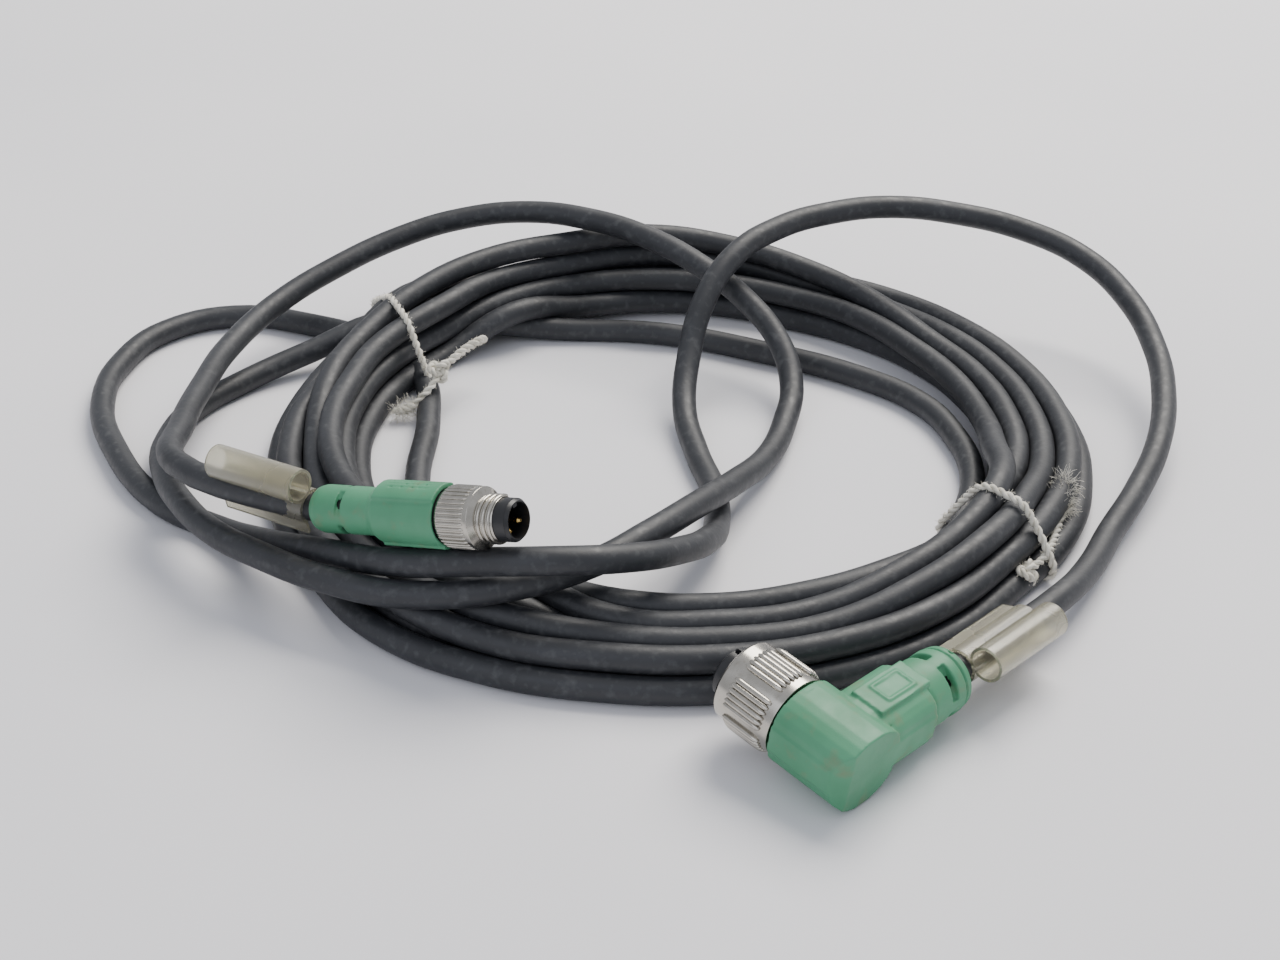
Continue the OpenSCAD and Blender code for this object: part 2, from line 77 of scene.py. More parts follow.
# Free lead from the M8 plug to where the turns begin
M8_ROUTE = mm([
    (-49.7, -32, 17.5), (-50.6, -31.5, 17.3), (-77, -15, 16),
    (-80, 4, 13), (-80, 22, 11), (-78, 41, 10), (-71, 57, 11.5), (-61, 68, 14),
    (-48, 77, 17), (-35, 81, 19.5), (-21, 81, 21), (-8, 76, 21.5), (4, 68, 21), (15, 58, 19),
    (24, 50, 15), (30, 42, 10), (32, 33, 5.5), (30, 22, 3), (26, 8.5, 3.6), (19, -7, 7.2),
    (12, -20.5, 10.9), (4, -33, 13.2), (-5, -42.5, 13.6), (-17, -47.8, 12.8), (-35, -47, 10.6),
    (-49, -41.8, 10.3), (-60, -34, 9.5), (-70, -25, 8.7), (-77, -15.3, 8.4), (-83, -1.4, 6.4),
    (-86, 14.4, 3.4), (-84, 28, 2.4), (-76, 40, 2.4), (-64, 49, 4.4), (-49, 56, 7.8), (-33, 61, 5),
    (-14, 63, 2.4), (7, 61, 2.4), (27, 53, 2.4), (46, 42, 2.4), (57, 31, 2.4), (62, 18, 2.4),
])
# Free lead from the M12 socket to where the turns end
M12_ROUTE = mm([
    (51, -62, 7), (71, -41, 6),
    (78, -30, 4.5), (84, -18, 4), (91, -6, 5), (98, 9, 6.5), (102, 24, 8.5), (103, 38, 11),
    (100, 52, 15), (93, 62, 19), (82, 69, 22), (68, 72, 24.5), (54, 72, 26), (41, 68, 26.3),
    (30, 61, 26), (21, 52, 24), (15, 44, 18), (12, 36, 10), (11, 26, 4.5), (13, 12, 2.5),
    (16, -3, 2.4), (16, -13.5, 3), (14, -26, 7.5), (9, -37, 12.5), (0, -47, 17.5),
    (-12, -51, 19.6), (-23, -48, 17.5), (-36, -43.4, 14.3), (-50, -35, 11), (-62, -24, 6),
    (-72, -14, 2.4), (-83, -6, 2.4), (-96, 14, 2.4), (-102, 31, 2.4), (-102, 48, 2.4),
    (-96, 62, 2.4), (-83, 69, 2.4), (-66, 65, 2.4), (-51, 56, 2.4), (-41, 42, 2.4),
    (-38, 24, 2.4), (-38, 2, 2.4), (-33, -25, 2.4),
])


def axis_frame(start, aim, roll=0.0):
    """Matrix of a part whose own X axis lies on the line from start to aim, as in the CAD source."""
    line = aim - start
    yaw = math.atan2(line.y, line.x)
    pitch = math.atan2(line.z, math.hypot(line.x, line.y))
    return (Matrix.Translation(start) @ Matrix.Rotation(yaw, 4, "Z")
            @ Matrix.Rotation(-pitch, 4, "Y") @ Matrix.Rotation(roll, 4, "X"))


M8_PLACE = axis_frame(M8_EXIT, M8_AIM)
M12_PLACE = axis_frame(M12_CORNER, M12_AIM, M12_ROLL)
MATING_PLACE = M12_PLACE @ Matrix.Rotation(math.radians(90), 4, "Z")

# ---------------------------------------------------------------- materials


def linear(hex_colour):
    """sRGB hex colour as the linear RGBA that a socket takes."""
    channels = [int(hex_colour[i:i + 2], 16) / 255 for i in (1, 3, 5)]
    return [c / 12.92 if c <= 0.04045 else ((c + 0.055) / 1.055) ** 2.4 for c in channels] + [1]


def add(tree, kind, inputs=None, **settings):
    """Adds a node with its settings. An input is a value, or another node's output socket."""
    made = tree.nodes.new(kind)
    for name, value in settings.items():
        setattr(made, name, value)
    for key, value in (inputs or {}).items():
        if isinstance(value, bpy.types.NodeSocket):
            tree.links.new(value, made.inputs[key])
        else:
            made.inputs[key].default_value = value
    return made


def new_material(name, **values):
    """A material with one Principled shader, and its tree, shader and Object coordinates."""
    material = bpy.data.materials.new(name)
    material.use_nodes = True
    tree = material.node_tree
    shader = tree.nodes["Principled BSDF"]
    for socket, value in values.items():
        shader.inputs[socket.replace("_", " ")].default_value = value
    place = tree.nodes.new("ShaderNodeTexCoord").outputs["Object"]
    return material, tree, shader, place


def per_size(size_mm):
    """Noise scale whose features are about that many millimetres wide."""
    return 1 / (size_mm * MM)


def spread(tree, value, low, high, start=0.3, end=0.7):
    """Maps a noise value from start..end to low..high."""
    return add(tree, "ShaderNodeMapRange", {0: value, 1: start, 2: end, 3: low, 4: high}).outputs[0]


def blend_colours(tree, factor, first, second):
    """Mixes two colours by a factor."""
    return add(tree, "ShaderNodeMix", {0: factor, 6: first, 7: second}, data_type="RGBA").outputs[2]


def grain(tree, place, size_mm, detail=2.0):
    """Noise value with features of that size."""
    return add(tree, "ShaderNodeTexNoise", {
        "Vector": place, "Scale": per_size(size_mm), "Detail": detail}).outputs[0]


def colour_by(tree, shader, factor, first, second):
    """Base colour that goes between two sRGB hex colours by a factor."""
    blended = blend_colours(tree, factor, linear(first), linear(second))
    tree.links.new(blended, shader.inputs["Base Color"])


def bump(tree, shader, height, depth_mm, strength=1.0):
    """Surface relief of that depth."""
    made = add(tree, "ShaderNodeBump", {"Height": height, "Distance": depth_mm * MM, "Strength": strength})
    tree.links.new(made.outputs[0], shader.inputs["Normal"])


def cable_jacket_finish():
    """Extruded polyurethane jacket: dull grey-black that varies in soft patches, with lighter grey spots of
    painted sheen.
    """
    material, tree, shader, place = new_material("pur_jacket_extruded_black")
    patches = grain(tree, place, 14, 3)
    painted_sheen_noise = grain(tree, place, 1.6, 4)
    body = blend_colours(tree, spread(tree, patches, 0, 1), linear("#212327"), linear("#2e3034"))
    # Lighter grey spots mixed into the jacket colour are painted sheen.
    with_painted_sheen = blend_colours(tree, spread(tree, painted_sheen_noise, 0, 0.22, 0.52, 0.78), body, linear("#77797a"))
    tree.links.new(with_painted_sheen, shader.inputs["Base Color"])
    tree.links.new(spread(tree, painted_sheen_noise, 0.44, 0.62), shader.inputs["Roughness"])
    bump(tree, shader, grain(tree, place, 0.5, 3), 0.05, 0.5)
    return material


def green_grip_finish():
    """Injection-moulded thermoplastic polyurethane: satin mid green with a fine spark-eroded grain."""
    material, tree, shader, place = new_material("tpu_moulded_green")
    patches = grain(tree, place, 9, 3)
    smudges = grain(tree, place, 3.5, 5)
    body = blend_colours(tree, spread(tree, patches, 0, 1), linear("#41835f"), linear("#4d906c"))
    dirty = blend_colours(tree, spread(tree, smudges, 0, 0.5, 0.56, 0.76), body, linear("#7a765a"))
    tree.links.new(dirty, shader.inputs["Base Color"])
    tree.links.new(spread(tree, smudges, 0.46, 0.6), shader.inputs["Roughness"])
    bump(tree, shader, grain(tree, place, 0.25, 2), 0.02, 0.6)
    return material


def black_moulding_finish():
    """Glass-filled polyamide of the carriers and cores: deep black, fairly smooth."""
    material, tree, shader, place = new_material("pa_moulded_black")
    cloud = grain(tree, place, 2, 3)
    colour_by(tree, shader, cloud, "#141517", "#1f2023")
    tree.links.new(spread(tree, cloud, 0.28, 0.42), shader.inputs["Roughness"])
    bump(tree, shader, grain(tree, place, 0.2, 2), 0.01, 0.5)
    return material


def nickel_finish():
    """Nickel-plated turned brass: warm silver, fine turning lines and handling haze."""
    material, tree, shader, place = new_material("nickel_plated_brass_turned", Metallic=1.0)
    haze = grain(tree, place, 2.2, 4)
    tarnish = grain(tree, place, 0.7, 3)
    plate = blend_colours(tree, spread(tree, haze, 0, 1), linear("#aca89f"), linear("#bdb9b0"))
    worn = blend_colours(tree, spread(tree, tarnish, 0, 0.3, 0.6, 0.78), plate, linear("#857c6c"))
    tree.links.new(worn, shader.inputs["Base Color"])
    tree.links.new(spread(tree, haze, 0.17, 0.27), shader.inputs["Roughness"])
    bump(tree, shader, grain(tree, place, 0.15, 2), 0.004, 0.3)
    return material


def gold_finish():
    """Gold-plated contact: thin hard gold, slightly wiped at the tip."""
    material, tree, shader, place = new_material("gold_plated_contact", Metallic=1.0)
    wipe = grain(tree, place, 0.6, 2)
    colour_by(tree, shader, wipe, "#d8ae55", "#f0d08a")
    tree.links.new(spread(tree, wipe, 0.18, 0.3), shader.inputs["Roughness"])
    return material


def seal_finish():
    """Fluororubber seal ring: dark, slightly greasy."""
    material, tree, shader, place = new_material("fkm_seal_rubber")
    bloom = grain(tree, place, 0.8, 3)
    colour_by(tree, shader, bloom, "#232325", "#3a3a3c")
    tree.links.new(spread(tree, bloom, 0.35, 0.5), shader.inputs["Roughness"])
    return material


def wire_finish(name, dark, light):
    """PVC-insulated conductor: smooth and glossy in its core colour."""
    material, tree, shader, place = new_material(name)
    tone = grain(tree, place, 1.2, 2)
    colour_by(tree, shader, tone, dark, light)
    tree.links.new(spread(tree, tone, 0.3, 0.42), shader.inputs["Roughness"])
    return material


def sleeve_finish():
    """Extruded clear PVC, yellowed with age: evenly cloudy, with a soft sheen along the tube."""
    material, tree, shader, place = new_material(
        "clear_pvc_sleeve_yellowed", Transmission_Weight=0.88, IOR=1.5)
    cloud = grain(tree, place, 12, 2)
    colour_by(tree, shader, spread(tree, cloud, 0, 1), "#e9e6d4", "#ddd8c0")
    tree.links.new(spread(tree, cloud, 0.2, 0.3), shader.inputs["Roughness"])
    bump(tree, shader, grain(tree, place, 6, 2), 0.03, 0.3)
    return material


def cotton_finish():
    """Twisted cotton string: off-white, dull and fibrous, a little soiled."""
    material, tree, shader, place = new_material(
        "cotton_string_twisted", Roughness=0.9, Sheen_Weight=0.25, Sheen_Roughness=0.5)
    soil = grain(tree, place, 2.5, 4)
    colour_by(tree, shader, spread(tree, soil, 0, 1), "#ece9de", "#c6c1b2")
    bump(tree, shader, grain(tree, place, 0.12, 2), 0.05, 0.6)
    return material


def floor_finish():
    """Matt white paper backdrop with very soft tone changes."""
    material, tree, shader, place = new_material("backdrop_paper_white", Roughness=0.85)
    tone = grain(tree, place, 160, 2)
    colour_by(tree, shader, spread(tree, tone, 0, 1), "#dfdfe3", "#e6e5e8")
    return material


JACKET = cable_jacket_finish()
GREEN = green_grip_finish()
BLACK = black_moulding_finish()
NICKEL = nickel_finish()
GOLD = gold_finish()
SEAL = seal_finish()
SLEEVE = sleeve_finish()
COTTON = cotton_finish()
WIRES = {
    "brown": wire_finish("pvc_wire_brown", "#5a3a22", "#7a5233"),
    "blue": wire_finish("pvc_wire_blue", "#244f9c", "#3c6ec0"),
    "black": wire_finish("pvc_wire_black", "#222222", "#363636"),
}

# ---------------------------------------------------------------- meshes


def new_object(name, data, material, body):
    """Puts finished data in the scene as a piece of a body, with its material."""
    piece = bpy.data.objects.new(name, data)
    bpy.context.scene.collection.objects.link(piece)
    data.materials.clear()
    data.materials.append(material)
    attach(piece, body)
    return piece


def smooth_shaded(mesh, edge_degrees=35):
    """Smooth shading that keeps edges sharper than the angle."""
    for face in mesh.polygons:
        face.use_smooth = True
    mesh.set_sharp_from_angle(angle=math.radians(edge_degrees))
    return mesh


def baked(source):
    """The object's evaluated shape as a plain mesh. The object itself is removed."""
    bpy.context.view_layer.update()
    mesh = bpy.data.meshes.new_from_object(source.evaluated_get(bpy.context.evaluated_depsgraph_get()))
    bpy.data.objects.remove(source)
    return mesh


def loose_object(name, data):
    """A working object that is not a piece yet."""
    made = bpy.data.objects.new(name, data)
    bpy.context.scene.collection.objects.link(made)
    return made


def rounded(profile, radius):
    """Closed profile of (along, radius) points with each corner rounded."""
    out = []
    count = len(profile)
    for i, corner in enumerate(profile):
        corner = Vector(corner)
        before, after = Vector(profile[i - 1]) - corner, Vector(profile[(i + 1) % count]) - corner
        reach = min(radius, before.length * 0.45, after.length * 0.45)
        start, end = corner + before.normalized() * reach, corner + after.normalized() * reach
        for t in (0, 0.25, 0.5, 0.75, 1):
            out.append(start.lerp(corner, t).lerp(corner.lerp(end, t), t))
    return out


def turned(name, profile, edge=0.12, sides=96):
    """Revolves a closed profile, in millimetres, round the X axis. Its corners get a small round edge."""
    rings = rounded(profile, edge)
    shape = bmesh.new()
    loops = []
    for k in range(sides):
        turn = 2 * math.pi * k / sides
        loops.append([
            shape.verts.new((x * MM, r * MM * math.cos(turn), r * MM * math.sin(turn))) for x, r in rings])
    for k in range(sides):
        here, there = loops[k], loops[(k + 1) % sides]
        for i in range(len(rings)):
            j = (i + 1) % len(rings)
            shape.faces.new((here[i], here[j], there[j], there[i]))
    bmesh.ops.remove_doubles(shape, verts=shape.verts, dist=1e-6)
    bmesh.ops.recalc_face_normals(shape, faces=shape.faces)
    mesh = bpy.data.meshes.new(name)
    shape.to_mesh(mesh)
    shape.free()
    return smooth_shaded(mesh)


def moulded_copy(name, node, voxel, rounds):
    """Copy of a CAD moulding with its edges softened as a mould leaves them."""
    shape = bmesh.new()
    shape.from_mesh(cad_nodes[node].data)
    bmesh.ops.remove_doubles(shape, verts=shape.verts, dist=0.002 * MM)
    mesh = bpy.data.meshes.new(name)
    shape.to_mesh(mesh)
    shape.free()
    work = loose_object(name, mesh)
    remesh = work.modifiers.new("skin", "REMESH")
    remesh.mode = "VOXEL"
    remesh.voxel_size = voxel
    relax = work.modifiers.new("soft_edges", "SMOOTH")
    relax.factor, relax.iterations = 0.5, rounds
    made = baked(work)
    for face in made.polygons:
        face.use_smooth = True
    return made


# ---------------------------------------------------------------- Geometry Nodes for what repeats


def new_tree(name, inputs):
    """A Geometry Nodes tree with a geometry input and output and named number inputs."""
    tree = bpy.data.node_groups.new(name, "GeometryNodeTree")
    tree.interface.new_socket("Geometry", in_out="INPUT", socket_type="NodeSocketGeometry")
    for label, kind in inputs.items():
        tree.interface.new_socket(label, in_out="INPUT", socket_type=kind)
    tree.interface.new_socket("Geometry", in_out="OUTPUT", socket_type="NodeSocketGeometry")
    return tree, add(tree, "NodeGroupInput").outputs


def close_tree(tree, geometry, material):
    """Realizes the instances, sets the material and ends the tree."""
    real = add(tree, "GeometryNodeRealizeInstances", {0: geometry})
    done = add(tree, "GeometryNodeSetMaterial", {0: real.outputs[0], "Material": material})
    add(tree, "NodeGroupOutput", {0: done.outputs[0]})


def calc(tree, operation, first, second=0.0):
    """One arithmetic step."""
    return add(tree, "ShaderNodeMath", {0: first, 1: second}, operation=operation).outputs[0]


def grown(name, tree, data, values):
    """Runs a tree on data with its inputs set by identifier, and returns a plain mesh."""
    work = loose_object(name, data)
    modifier = work.modifiers.new("grow", "NODES")
    modifier.node_group = tree
    for item in tree.interface.items_tree:
        if item.in_out == "INPUT" and item.name in values:
            modifier[item.identifier] = values[item.name]
    return baked(work)


def rib_tree():
    """Straight ribs round the X axis, in panels with plain channels between them."""
    tree, given = new_tree("knurl_ribs", {
        "Panels": "NodeSocketInt", "Ribs per panel": "NodeSocketInt", "Channel share": "NodeSocketFloat",
        "Ring radius": "NodeSocketFloat", "Rib radius": "NodeSocketFloat",
        "Start": "NodeSocketFloat", "Length": "NodeSocketFloat"})
    ribs = given["Ribs per panel"]
    count = calc(tree, "MULTIPLY", given["Panels"], ribs)
    index = add(tree, "GeometryNodeInputIndex").outputs[0]
    panel = calc(tree, "FLOOR", calc(tree, "DIVIDE", calc(tree, "ADD", index, 0.5), ribs))
    place_in_panel = calc(tree, "DIVIDE", calc(tree, "ADD", calc(tree, "MODULO", index, ribs), 0.5), ribs)
    ribbed_share = calc(tree, "SUBTRACT", 1.0, given["Channel share"])
    panels_round = calc(tree, "ADD", panel, calc(tree, "MULTIPLY", place_in_panel, ribbed_share))
    turn = calc(tree, "DIVIDE", calc(tree, "MULTIPLY", panels_round, 2 * math.pi), given["Panels"])
    ring = given["Ring radius"]
    spot = add(tree, "ShaderNodeCombineXYZ", {
        0: given["Start"], 1: calc(tree, "MULTIPLY", ring, calc(tree, "COSINE", turn)),
        2: calc(tree, "MULTIPLY", ring, calc(tree, "SINE", turn))}).outputs[0]
    points = add(tree, "GeometryNodePoints", {"Count": count, "Position": spot}).outputs[0]
    end = add(tree, "ShaderNodeCombineXYZ", {0: given["Length"]}).outputs[0]
    line = add(tree, "GeometryNodeCurvePrimitiveLine", {"Start": (0, 0, 0), "End": end}).outputs[0]
    line = add(tree, "GeometryNodeResampleCurve", {"Curve": line, "Count": 14}).outputs[0]
    along = add(tree, "GeometryNodeSplineParameter").outputs["Factor"]
    from_end = calc(tree, "PINGPONG", along, 0.5)
    taper = add(tree, "ShaderNodeMapRange", {0: from_end, 1: 0.0, 2: 0.09, 3: 0.35, 4: 1.0}).outputs[0]
    line = add(tree, "GeometryNodeSetCurveRadius", {0: line, "Radius": taper}).outputs[0]
    section = add(tree, "GeometryNodeCurvePrimitiveCircle", {
        "Resolution": 12, "Radius": given["Rib radius"]}).outputs[0]
    rib = add(tree, "GeometryNodeCurveToMesh", {
        "Curve": line, "Profile Curve": section, "Fill Caps": True, "Scale": taper}).outputs[0]
    placed = add(tree, "GeometryNodeInstanceOnPoints", {"Points": points, "Instance": rib}).outputs[0]
    close_tree(tree, placed, NICKEL)
    return tree


def thread_tree():
    """One helical thread ridge round the X axis."""
    tree, given = new_tree("thread_ridge", {
        "Turns": "NodeSocketFloat", "Length": "NodeSocketFloat", "Radius": "NodeSocketFloat",
        "Ridge radius": "NodeSocketFloat", "Start": "NodeSocketFloat"})
    helix = add(tree, "GeometryNodeCurveSpiral", {
        "Resolution": 64, "Rotations": given["Turns"], "Start Radius": given["Radius"],
        "End Radius": given["Radius"], "Height": given["Length"]}).outputs[0]
    section = add(tree, "GeometryNodeCurvePrimitiveCircle", {
        "Resolution": 8, "Radius": given["Ridge radius"]}).outputs[0]
    ridge = add(tree, "GeometryNodeCurveToMesh", {
        "Curve": helix, "Profile Curve": section, "Fill Caps": True}).outputs[0]
    start = add(tree, "ShaderNodeCombineXYZ", {0: given["Start"]}).outputs[0]
    turned_over = add(tree, "GeometryNodeTransform", {
        "Geometry": ridge, "Rotation": (0, math.radians(90), 0), "Translation": start}).outputs[0]
    close_tree(tree, turned_over, NICKEL)
    return tree


def string_tree():
    """Two plies twisted round a path, with loose fibres standing off them."""
    tree, given = new_tree("twisted_string", {
        "Ply radius": "NodeSocketFloat", "Twist length": "NodeSocketFloat",
        "Fibre length": "NodeSocketFloat", "Fibres per mm2": "NodeSocketFloat"})
    path = add(tree, "GeometryNodeResampleCurve", {
        "Curve": given["Geometry"], "Length": 0.22 * MM}, mode="LENGTH").outputs[0]
    reached = add(tree, "GeometryNodeSplineParameter").outputs["Length"]
    turn = calc(tree, "MULTIPLY", calc(tree, "DIVIDE", reached, given["Twist length"]), 2 * math.pi)
    across = add(tree, "GeometryNodeInputNormal").outputs[0]
    forward = add(tree, "GeometryNodeInputTangent").outputs[0]
    aside = add(tree, "ShaderNodeVectorMath", {0: forward, 1: across}, operation="CROSS_PRODUCT").outputs[0]
    section = add(tree, "GeometryNodeCurvePrimitiveCircle", {
        "Resolution": 8, "Radius": calc(tree, "MULTIPLY", given["Ply radius"], 1.08)}).outputs[0]
    join = add(tree, "GeometryNodeJoinGeometry")
    for phase in (0, math.pi):
        angle = calc(tree, "ADD", turn, phase)
        swing = []
        for direction, share in ((across, "COSINE"), (aside, "SINE")):
            reach = calc(tree, "MULTIPLY", calc(tree, share, angle), given["Ply radius"])
            scaled = add(tree, "ShaderNodeVectorMath", {0: direction, "Scale": reach}, operation="SCALE")
            swing.append(scaled.outputs[0])
        offset = add(tree, "ShaderNodeVectorMath", {0: swing[0], 1: swing[1]}, operation="ADD").outputs[0]
        ply = add(tree, "GeometryNodeSetPosition", {"Geometry": path, "Offset": offset}).outputs[0]
        ply = add(tree, "GeometryNodeCurveToMesh", {
            "Curve": ply, "Profile Curve": section, "Fill Caps": True}).outputs[0]
        tree.links.new(ply, join.inputs[0])
    density = calc(tree, "MULTIPLY", given["Fibres per mm2"], 1 / MM ** 2)
    roots = add(tree, "GeometryNodeDistributePointsOnFaces", {
        "Mesh": join.outputs[0], "Density": density, "Seed": 5})
    length = given["Fibre length"]
    tip = add(tree, "ShaderNodeCombineXYZ", {
        0: calc(tree, "MULTIPLY", length, 0.45), 2: calc(tree, "MULTIPLY", length, 0.8)}).outputs[0]
    knee = add(tree, "ShaderNodeCombineXYZ", {2: calc(tree, "MULTIPLY", length, 0.55)}).outputs[0]
    hair = add(tree, "GeometryNodeCurveQuadraticBezier", {
        "Resolution": 4, "Start": (0, 0, 0), "Middle": knee, "End": tip}).outputs[0]
    thin = add(tree, "GeometryNodeCurvePrimitiveCircle", {"Resolution": 3, "Radius": 0.035 * MM}).outputs[0]
    hair = add(tree, "GeometryNodeCurveToMesh", {"Curve": hair, "Profile Curve": thin}).outputs[0]
    lean = add(tree, "FunctionNodeRandomValue", {0: (-1.1, -1.1, -3.1), 1: (1.1, 1.1, 3.1), "Seed": 8},
               data_type="FLOAT_VECTOR").outputs[0]
    leant = add(tree, "FunctionNodeRotateRotation", {
        "Rotation": roots.outputs["Rotation"], "Rotate By": lean}, rotation_space="LOCAL").outputs[0]
    size = add(tree, "FunctionNodeRandomValue", {2: 0.4, 3: 1.15, "Seed": 9}, data_type="FLOAT").outputs[1]
    fibres = add(tree, "GeometryNodeInstanceOnPoints", {
        "Points": roots.outputs["Points"], "Instance": hair, "Rotation": leant, "Scale": size}).outputs[0]
    everything = add(tree, "GeometryNodeJoinGeometry")
    for part in (join.outputs[0], fibres):
        tree.links.new(part, everything.inputs[0])
    close_tree(tree, everything.outputs[0], COTTON)
    return tree


RIBS, THREAD, STRING = rib_tree(), thread_tree(), string_tree()

# ---------------------------------------------------------------- cable

TURNS = 8.396
TIE_ANGLES = (149, -35)
TIE_RADIUS = 65 * MM
STEPS_PER_TURN = 72
START_TURN = math.radians(4.9)
SWEEPS, SETTLING_SWEEPS = 260, 220
SINK_PER_SWEEP = 0.12 * MM
BACK_ANGLE, BACK_LIFT = 92, 5.5 * MM
LANE_PITCH = 4.85 * MM
# Where each turn lies: (turns wound, lanes in from the outermost, layer)
LANES = [
    (0, 4.32, 0), (0.3, 3, 0), (3.3, 0, 0), (3.75, 0.5, 1), (5.95, 2.5, 1),
    (6.35, 2, 2), (7.5, 1.2, 2), (8.0, 2, 2), (TURNS, 3.37, 0),
]


def smooth_line(points, step):
    """Points every step along a smooth line through the given ones."""
    points = [points[0] * 2 - points[1], *points, points[-1] * 2 - points[-2]]
    out = []
    for a, b, c, d in zip(points, points[1:], points[2:], points[3:]):
        count = max(1, round((c - b).length / step))
        for i in range(count):
            t = i / count
            out.append(0.5 * (2 * b + (c - a) * t + (2 * a - 5 * b + 4 * c - d) * t ** 2
                              + (3 * b - a - 3 * c + d) * t ** 3))
    return out + [points[-2]]


def near_angle(turn, degrees, width_degrees):
    """Bell-shaped weight of the turns near an angle."""
    off = (turn - math.radians(degrees) + math.pi) % (2 * math.pi) - math.pi
    return np.exp(-off ** 2 / math.radians(width_degrees) ** 2)


def wound_turns(leads):
    """The turns of the coil, settled by weight on the ground, on each other and on the leads."""
    wound = np.arange(int(TURNS * STEPS_PER_TURN) + 1) / STEPS_PER_TURN
    knots, lanes, layers = zip(*LANES)
    turn = START_TURN - 2 * math.pi * wound
    lane, layer = np.interp(wound, knots, lanes), np.interp(wound, knots, layers)
    right = np.maximum(0, np.cos(turn - math.radians(5))) ** 2
    chance = random.Random(11)
    sway = sum(
        chance.uniform(0.3, 0.7)
        * np.sin(turn * k + wound * chance.uniform(0.6, 1.4) + chance.uniform(0, 6))
        for k in (1, 2, 3))
    fade = np.clip(np.minimum(wound, TURNS - wound) * 4, 0, 1)
    home = (COIL_OUTER_LANE + right * 1.4 * MM
            - lane * LANE_PITCH * (1 + 0.24 * right * fade) + sway * fade * MM)
    ease = np.hanning(STEPS_PER_TURN // 4)
    home = np.convolve(np.pad(home, len(ease) // 2, mode="edge"), ease / ease.sum(), "valid")[:len(wound)]
    over_leads = np.maximum(0, np.cos(turn - math.radians(143))) ** 14
    radius = home.copy()
    height = CABLE_D / 2 + layer * 4.3 * MM + over_leads * 8.5 * MM * (wound < TURNS - 0.3) * fade
    ends = [0, 1, len(wound) - 2, len(wound) - 1]
    floor_height = CABLE_D / 2
    held_radius, held_height = home[ends].copy(), np.full(4, floor_height)
    tied = sum(near_angle(turn, at, 15) for at in TIE_ANGLES)
    home += 0.5 * tied * fade * (TIE_RADIUS - home)
    pull = 0.03 + 0.09 * tied
    at_back = near_angle(turn, BACK_ANGLE, 38)
    weight = SINK_PER_SWEEP * (1 - at_back)
    height += BACK_LIFT * at_back * fade
    blocks = np.array(leads)
    sines, cosines = np.sin(turn), np.cos(turn)
    for sweep in range(SWEEPS):
        if sweep < SETTLING_SWEEPS:
            height -= weight
            radius += pull * (home - radius)
            for line in (radius, height):
                line[1:-1] += 0.25 * (line[:-2] + line[2:] - 2 * line[1:-1])
        for gap in range(STEPS_PER_TURN, len(wound), STEPS_PER_TURN):
            apart_r, apart_z = radius[gap:] - radius[:-gap], height[gap:] - height[:-gap]
            distance = np.maximum(np.hypot(apart_r, apart_z), 1e-6)
            push = np.maximum(0, CABLE_D - distance) / distance * 0.5
            radius[gap:] += apart_r * push
            radius[:-gap] -= apart_r * push
            height[gap:] += apart_z * push
            height[:-gap] -= apart_z * push
        if sweep % 3 == 0:
            at = np.stack([COIL_CENTRE.x + radius * cosines, COIL_CENTRE.y + radius * sines, height], 1)
            away = at[:, None, :] - blocks[None, :, :]
            distance = np.sqrt((away ** 2).sum(2))
            nearest = distance.argmin(1)
            rows = np.arange(len(at))
            distance = np.maximum(distance[rows, nearest], 1e-6)
            direction = away[rows, nearest] / distance[:, None]
            push = np.maximum(0, CABLE_D - distance)
            radius += push * (direction[:, 0] * cosines + direction[:, 1] * sines)
            height += push * direction[:, 2]
        height = np.maximum(height, floor_height)
        radius[ends], height[ends] = held_radius, held_height
    return [
        COIL_CENTRE + Vector((r * math.cos(a), r * math.sin(a), z))
        for r, a, z in zip(radius.tolist(), turn.tolist(), height.tolist())]


def cable_line():
    """The cable's centreline from one jacket end to the other, and the part that is coiled."""
    m8_end = M8_PLACE @ Vector((M8_JACKET_IN, 0, 0))
    m12_end = M12_PLACE @ Vector((M12_ARM - M12_JACKET_IN, 0, 0))
    m12_exit = M12_PLACE @ Vector((M12_ARM, 0, 0))
    m8_lead, m12_lead = [m8_end, *M8_ROUTE], [m12_end, m12_exit, *M12_ROUTE]
    blocks = []
    for lead in (m8_lead, m12_lead):
        blocks += smooth_line(lead[:-1], 1.5 * MM)[:-4]
    turns = wound_turns([tuple(p) for p in blocks])
    coiled = turns[3:-3:3]
    return m8_lead + coiled + m12_lead[::-1], turns, blocks


def curve_of(name, points, closed=False):
    """Curve data with one smooth spline through the points."""
    data = bpy.data.curves.new(name, "CURVE")
    data.dimensions = "3D"
    spline = data.splines.new("BEZIER")
    spline.bezier_points.add(len(points) - 1)
    for knot, point in zip(spline.bezier_points, points):
        knot.co = point
        knot.handle_left_type = knot.handle_right_type = "AUTO"
    spline.use_cyclic_u = closed
    data.resolution_u = 8
    return data


line, coil_turns, lead_lines = cable_line()
cable_data = curve_of("cable", line)
cable_data.bevel_depth = CABLE_D / 2
cable_data.bevel_resolution = 5
cable_data.resolution_u = 6
cable_data.use_fill_caps = True
cable = new_object("cable", cable_data, JACKET, "cordset")
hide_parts("cable_coil", "cable_lead_m8", "cable_lead_m12")

# ---------------------------------------------------------------- string ties


